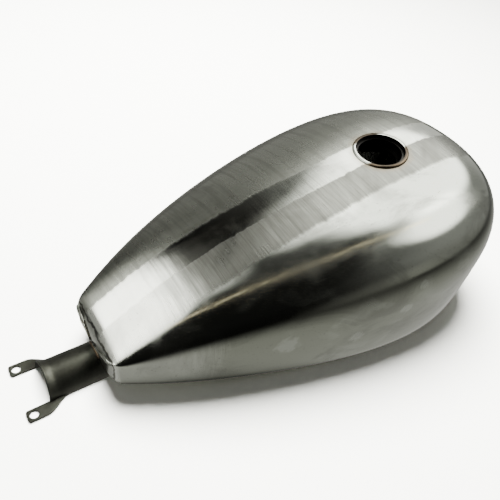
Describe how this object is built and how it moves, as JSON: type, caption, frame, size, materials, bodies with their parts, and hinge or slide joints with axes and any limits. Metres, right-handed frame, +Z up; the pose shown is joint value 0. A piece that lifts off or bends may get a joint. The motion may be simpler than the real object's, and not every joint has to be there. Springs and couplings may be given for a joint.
{
  "type": "motorcycle fuel tank",
  "caption": "Teardrop motorcycle fuel tank of bare steel, with an open filler neck, a backbone tunnel and a slim rear bracket with two bolt ears.",
  "frame": {"origin": "on the floor, in the middle of the overall length, on the centre plane", "axes": "+X towards the wide front end, +Y to the left, +Z up"},
  "size_m": [0.6036, 0.3068, 0.1864],
  "materials": {
    "body_steel": "bare sheet steel, part polished and part sanded",
    "pan_steel": "bare sheet steel as pressed",
    "bracket_steel": "hot-rolled steel with dull mill finish",
    "turned_steel": "turned, lightly oxidised",
    "weld": "ground weld with heat tint"
  },
  "bodies": {
    "root": {"top_panel": "body_steel", "left_side_skin": "body_steel", "right_side_skin": "body_steel", "tail_plate": "body_steel", "left_floor_pan": "pan_steel", "right_floor_pan": "pan_steel", "tunnel": "pan_steel", "front_baffle": "pan_steel", "rear_baffle": "pan_steel", "rear_bracket": "bracket_steel", "left_front_lug": "bracket_steel", "right_front_lug": "bracket_steel", "left_lug_collar": "turned_steel", "right_lug_collar": "turned_steel", "filler_neck": "turned_steel", "cap_seat_ring": "turned_steel", "cap_cam_ring": "turned_steel", "vent_pipe": "turned_steel", "vent_collar": "turned_steel", "outlet_bung": "turned_steel", "outlet_flange": "turned_steel", "left_balance_spigot": "turned_steel", "right_balance_spigot": "turned_steel", "neck_weld": "weld", "rear_bracket_weld": "weld"}
  },
  "joints": []
}
